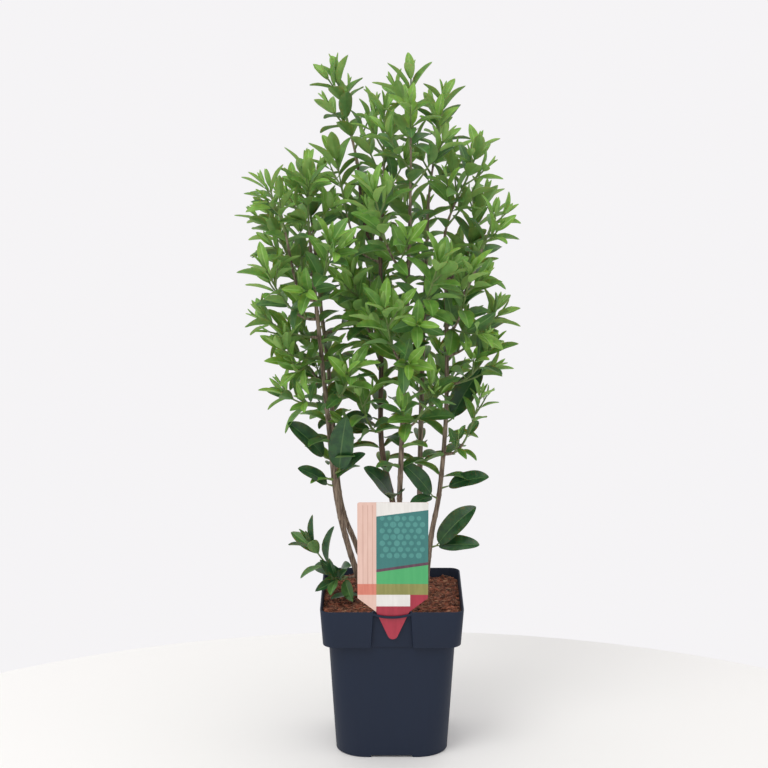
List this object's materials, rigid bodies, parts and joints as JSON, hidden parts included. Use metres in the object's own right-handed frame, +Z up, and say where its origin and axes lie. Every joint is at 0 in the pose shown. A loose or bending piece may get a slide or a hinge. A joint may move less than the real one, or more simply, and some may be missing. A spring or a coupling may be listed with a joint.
{
  "type": "potted california privet",
  "caption": "Young multi-stemmed privet shrub with upswept leafy shoots, growing in a square nursery pot of compost with a blank-backed plant label.",
  "frame": {"origin": "centre of the pot's flat underside", "axes": "+Z up along the plant, -Y towards the label's side, +X to the right as seen from the label's side"},
  "size_m": [0.2865, 0.2428, 0.7398],
  "materials": {
    "pot_plastic": "dark blue-black moulded plastic, satin",
    "compost": "coarse red-brown coir and bark, moist",
    "label_card": null,
    "bark": "smooth grey-brown young bark with small pores",
    "young_leaf": "fresh mid-green leaves and green shoots, satin",
    "old_leaf": "dark green glossy old leaves"
  },
  "bodies": {
    "root": {"bough_left": "bark", "bough_left_leader": "bark", "bough_right": "bark", "cane_dark": "bark", "cane_left": "bark", "cane_left_back": "bark", "cane_middle": "bark", "cane_right": "bark", "cane_right_back": "bark", "label": "label_card", "leaves_back_left_1": "young_leaf", "leaves_back_left_2": "young_leaf", "leaves_back_left_3": "young_leaf", "leaves_back_left_4": "young_leaf", "leaves_back_left_top": "young_leaf", "leaves_back_right_1": "young_leaf", "leaves_back_right_2": "young_leaf", "leaves_back_right_3": "young_leaf", "leaves_back_right_4": "young_leaf", "leaves_back_right_top": "young_leaf", "leaves_dark_back": "young_leaf", "leaves_dark_front": "young_leaf", "leaves_dark_high": "young_leaf", "leaves_dark_low": "young_leaf", "leaves_dark_side": "young_leaf", "leaves_dark_top": "young_leaf", "leaves_leader_top": "young_leaf", "leaves_left_bough": "young_leaf", "leaves_left_front": "young_leaf", "leaves_left_high": "young_leaf", "leaves_left_inner": "young_leaf", "leaves_left_low": "young_leaf", "leaves_left_middle": "young_leaf", "leaves_left_outer": "young_leaf", "leaves_left_top": "young_leaf", "leaves_left_upper": "young_leaf", "leaves_middle_front": "young_leaf", "leaves_middle_left": "young_leaf", "leaves_middle_right": "young_leaf", "leaves_middle_top": "young_leaf", "leaves_middle_upper": "young_leaf", "leaves_right_back": "young_leaf", "leaves_right_bough": "young_leaf", "leaves_right_front": "young_leaf", "leaves_right_low": "young_leaf", "leaves_right_outer": "young_leaf", "leaves_right_shoot": "young_leaf", "leaves_right_top": "young_leaf", "leaves_sucker": "young_leaf", "old_leaf_left": "old_leaf", "old_leaf_left_low": "old_leaf", "old_leaf_right": "old_leaf", "old_leaf_right_high": "old_leaf", "old_leaves_dark_high": "old_leaf", "old_leaves_dark_low": "old_leaf", "old_leaves_left_inner": "old_leaf", "old_leaves_middle": "old_leaf", "old_leaves_right_low": "old_leaf", "pot": "pot_plastic", "soil": "compost"}
  },
  "joints": []
}
